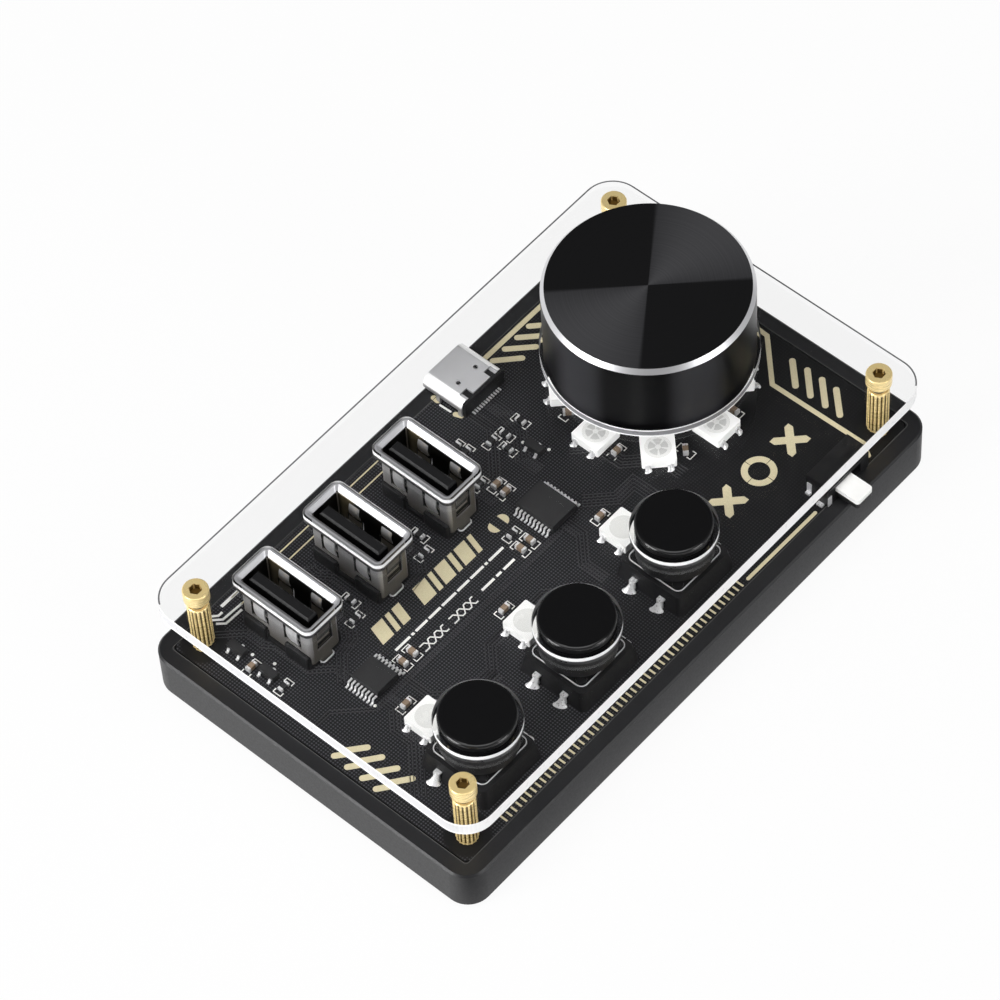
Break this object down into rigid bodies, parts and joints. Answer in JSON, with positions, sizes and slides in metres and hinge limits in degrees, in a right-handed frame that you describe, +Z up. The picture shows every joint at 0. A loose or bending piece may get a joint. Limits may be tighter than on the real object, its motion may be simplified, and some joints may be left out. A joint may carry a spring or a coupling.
{
  "type": "macro keypad with knob and usb hub",
  "caption": "Small keypad on an open circuit board: round push keys, a large push-and-turn knob, upright usb sockets and a slide switch under a clear cover plate, in a shallow tray.",
  "frame": {"origin": "centre of the tray's flat underside; the rubber feet stand 0.8 mm below it", "axes": "+X along the long side towards the knob, +Y towards the upright sockets and the usb-c inlet, +Z up"},
  "size_m": [0.1, 0.0615, 0.0326],
  "materials": {
    "tray_plastic": "moulded, fine matt",
    "foot_rubber": "soft matt pad",
    "board_mask": "black solder mask with gold artwork",
    "clear_acrylic": "laser-cut clear acrylic, polished edges",
    "turned_brass": "turned, bright",
    "plated_steel": "nickel plated",
    "black_steel": "black oxide",
    "black_anodised": "black anodised, spun face, bright diamond-cut chamfer",
    "spring_steel": "pressed sheet",
    "socket_steel": "nickel-plated pressed sheet",
    "gold_contact": "gold flashed",
    "solder_tin": "bright tin and solder",
    "black_nylon": "moulded",
    "key_plate_black": "black, bright cut edges",
    "gloss_black": "polished moulding",
    "white_plastic": "white moulding",
    "lens_resin": "milky clear resin",
    "chip_epoxy": "moulded epoxy",
    "capacitor_ceramic": "fired ceramic"
  },
  "bodies": {
    "base": {"tray": "tray_plastic", "rubber_feet": "foot_rubber", "circuit_board": "board_mask", "cover_plate": "clear_acrylic", "fluted_pillars": "turned_brass", "cover_screws": "turned_brass", "base_screws": "plated_steel", "encoder_housing": "black_nylon", "encoder_bracket": "plated_steel", "encoder_terminals": "solder_tin", "encoder_dome": "spring_steel", "usb_c_shell": "socket_steel", "usb_c_insulator": "black_nylon", "usb_c_contacts": "gold_contact", "slide_switch_housing": "black_nylon", "slide_switch_frame": "socket_steel", "slide_switch_terminals": "solder_tin", "led_bodies": "white_plastic", "led_lenses": "lens_resin", "led_leads": "solder_tin", "chip_bodies": "chip_epoxy", "chip_leads": "solder_tin", "capacitors": "capacitor_ceramic", "resistors": "chip_epoxy", "component_ends": "solder_tin", "key_housing_1": "black_nylon", "key_plate_1": "key_plate_black", "key_leads_1": "solder_tin", "key_dome_1": "spring_steel", "usb_a_shell_1": "socket_steel", "usb_a_insulator_1": "black_nylon", "usb_a_contacts_1": "gold_contact", "key_housing_2": "black_nylon", "key_plate_2": "key_plate_black", "key_leads_2": "solder_tin", "key_dome_2": "spring_steel", "usb_a_shell_2": "socket_steel", "usb_a_insulator_2": "black_nylon", "usb_a_contacts_2": "gold_contact", "key_housing_3": "black_nylon", "key_plate_3": "key_plate_black", "key_leads_3": "solder_tin", "key_dome_3": "spring_steel", "usb_a_shell_3": "socket_steel", "usb_a_insulator_3": "black_nylon", "usb_a_contacts_3": "gold_contact"},
    "knob_pusher": {"encoder_pusher": "black_nylon"},
    "knob_assembly": {"knob": "black_anodised", "knob_grub_screw": "black_steel", "encoder_shaft": "plated_steel"},
    "slide_lever": {"slide_switch_lever": "white_plastic"},
    "key_1": {"key_stem_1": "black_nylon", "key_cap_1": "gloss_black"},
    "key_2": {"key_stem_2": "black_nylon", "key_cap_2": "gloss_black"},
    "key_3": {"key_stem_3": "black_nylon", "key_cap_3": "gloss_black"}
  },
  "joints": [
    {"name": "key_1_press", "type": "slide", "parent": "base", "child": "key_1", "axis": [0, 0, -1], "range_m": [0, 0.0003], "stiffness_N_per_m": 6000, "deforming": ["key_dome_1"]},
    {"name": "key_2_press", "type": "slide", "parent": "base", "child": "key_2", "axis": [0, 0, -1], "range_m": [0, 0.0003], "stiffness_N_per_m": 6000, "deforming": ["key_dome_2"]},
    {"name": "key_3_press", "type": "slide", "parent": "base", "child": "key_3", "axis": [0, 0, -1], "range_m": [0, 0.0003], "stiffness_N_per_m": 6000, "deforming": ["key_dome_3"]},
    {"name": "knob_push", "type": "slide", "parent": "base", "child": "knob_pusher", "axis": [0, 0, -1], "range_m": [0, 0.0005], "stiffness_N_per_m": 9000, "springref_m": -0.0001, "deforming": ["encoder_dome"]},
    {"name": "knob_turn", "type": "hinge", "parent": "knob_pusher", "child": "knob_assembly", "pos_m": [0.0291, 0.005, 0.0173], "axis": [0, 0, 1], "continuous": true},
    {"name": "slide_switch_slide", "type": "slide", "parent": "base", "child": "slide_lever", "axis": [1, 0, 0], "range_m": [0, 0.002]}
  ]
}
